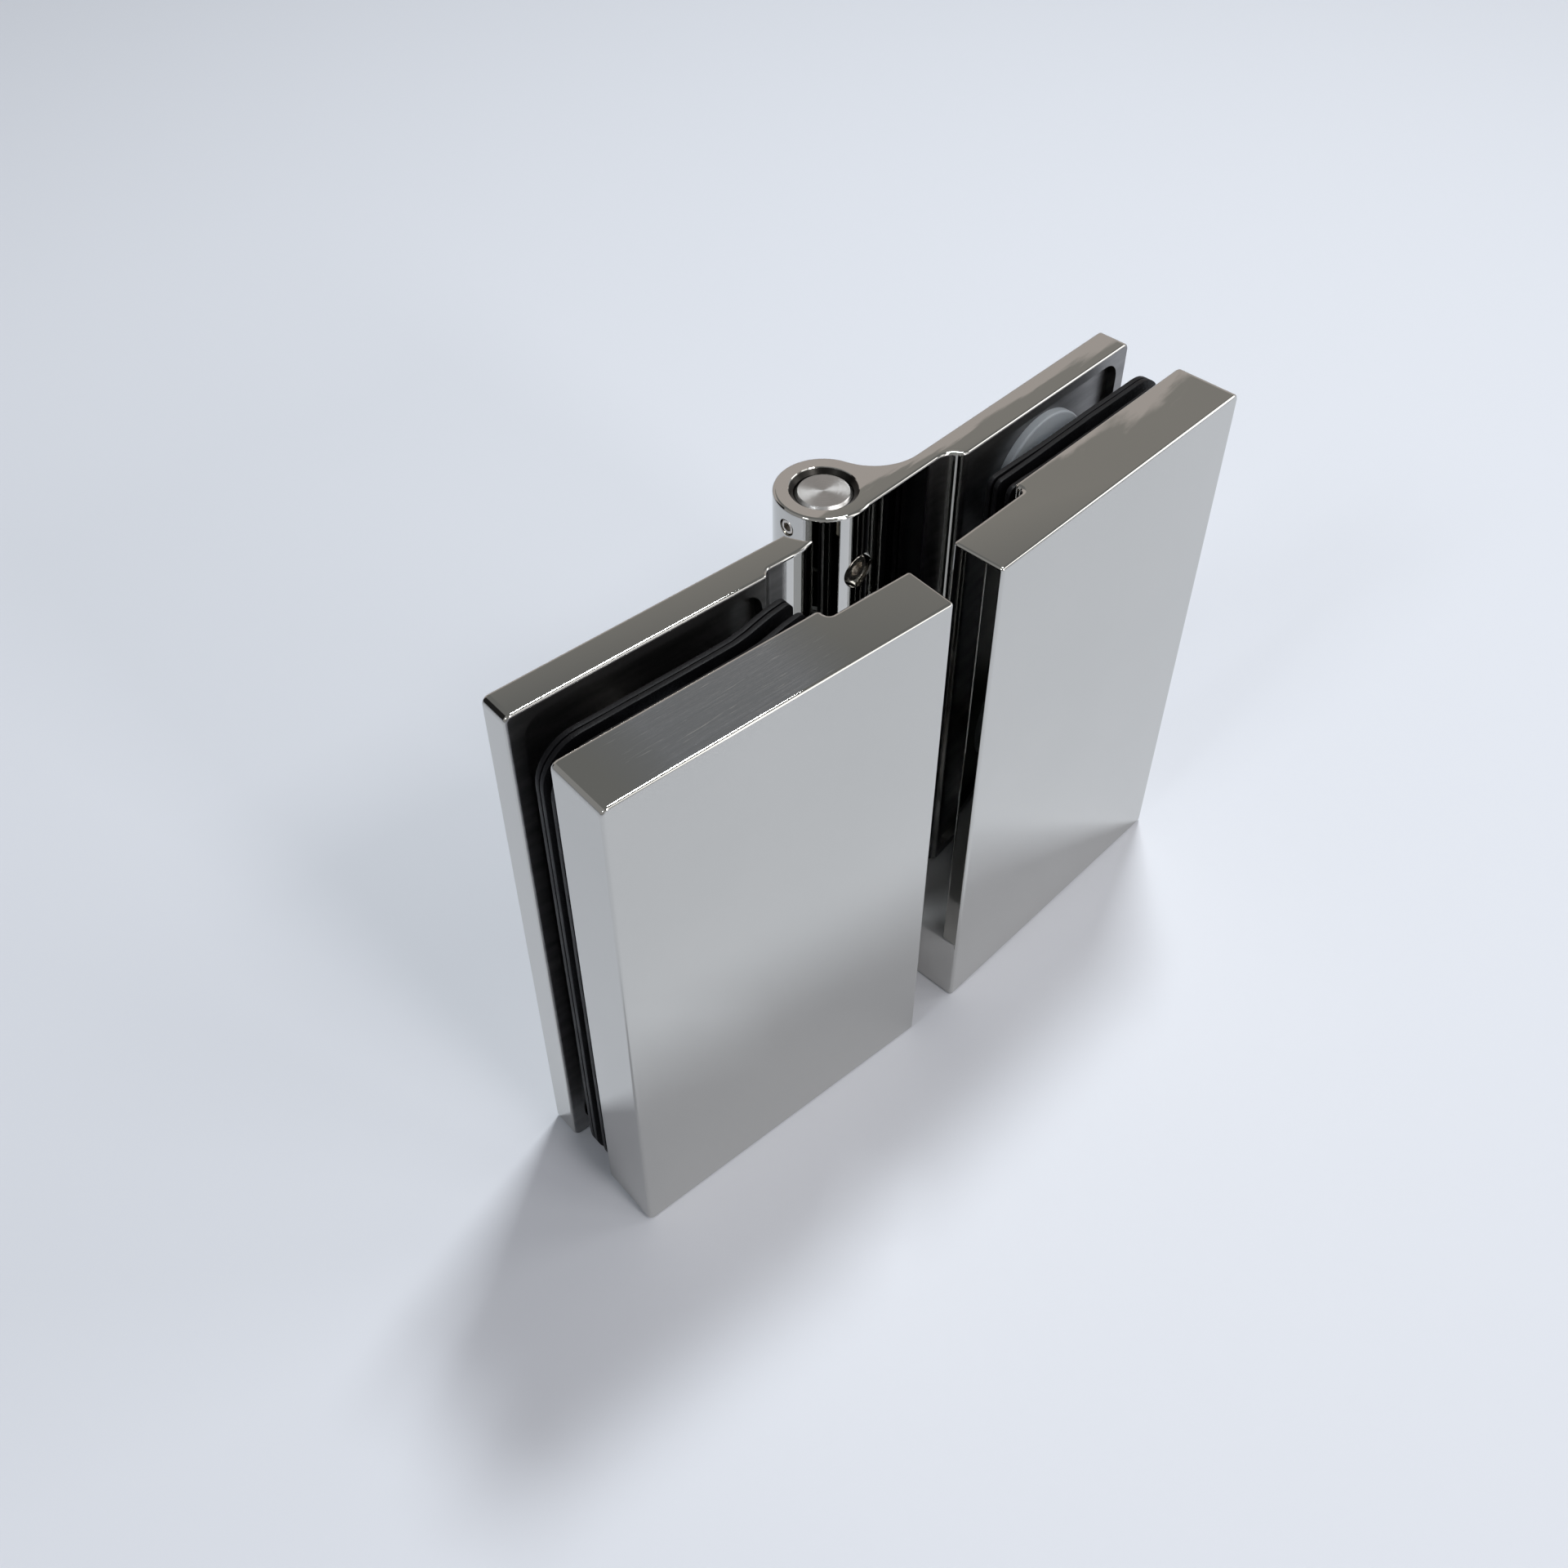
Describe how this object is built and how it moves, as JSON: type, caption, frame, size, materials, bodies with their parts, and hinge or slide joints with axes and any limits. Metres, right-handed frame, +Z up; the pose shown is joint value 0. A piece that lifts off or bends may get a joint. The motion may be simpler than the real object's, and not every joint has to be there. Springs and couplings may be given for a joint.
{
  "type": "glass shower door hinge",
  "caption": "Polished glass-to-glass shower door hinge: clamp plates either side of a barrel with a pin, each with an open slot lined with rubber for the glass.",
  "frame": {"origin": "on the pivot axis, level with the lower edges that the hinge stands on", "axes": "+X along the left leaf from its outer end towards the right leaf, +Y from the clean front faces to the knuckle side, +Z up along the pin"},
  "size_m": [0.1152, 0.0344, 0.09],
  "materials": {
    "polished_metal": "mirror polished",
    "turned_steel": "turned",
    "screw_steel": "satin",
    "black_rubber": "matte",
    "white_nylon": "translucent satin"
  },
  "bodies": {
    "left_leaf": {"left_back_plate": "polished_metal", "left_front_plate": "polished_metal", "left_front_rubber_sheet": "black_rubber", "left_middle_rubber_sheet": "black_rubber", "left_back_rubber_sheet": "black_rubber", "left_lower_clamp_screw": "screw_steel", "left_upper_clamp_screw": "screw_steel", "left_lower_glass_bush": "white_nylon", "left_upper_glass_bush": "white_nylon", "lower_pin_sleeve": "white_nylon", "upper_pin_sleeve": "white_nylon", "lower_thrust_washer": "white_nylon", "upper_thrust_washer": "white_nylon"},
    "right_leaf": {"right_back_plate": "polished_metal", "right_front_plate": "polished_metal", "right_front_rubber_sheet": "black_rubber", "right_middle_rubber_sheet": "black_rubber", "right_back_rubber_sheet": "black_rubber", "right_lower_clamp_screw": "screw_steel", "right_upper_clamp_screw": "screw_steel", "right_lower_glass_bush": "white_nylon", "right_upper_glass_bush": "white_nylon", "hinge_pin": "turned_steel", "lower_front_set_screw": "screw_steel", "upper_front_set_screw": "screw_steel", "lower_side_set_screw": "screw_steel", "upper_side_set_screw": "screw_steel"}
  },
  "joints": [
    {"name": "leaf_swing", "type": "hinge", "parent": "left_leaf", "child": "right_leaf", "pos_m": [0, 0, 0], "axis": [0, 0, 1], "range_deg": [-18, 173]}
  ]
}
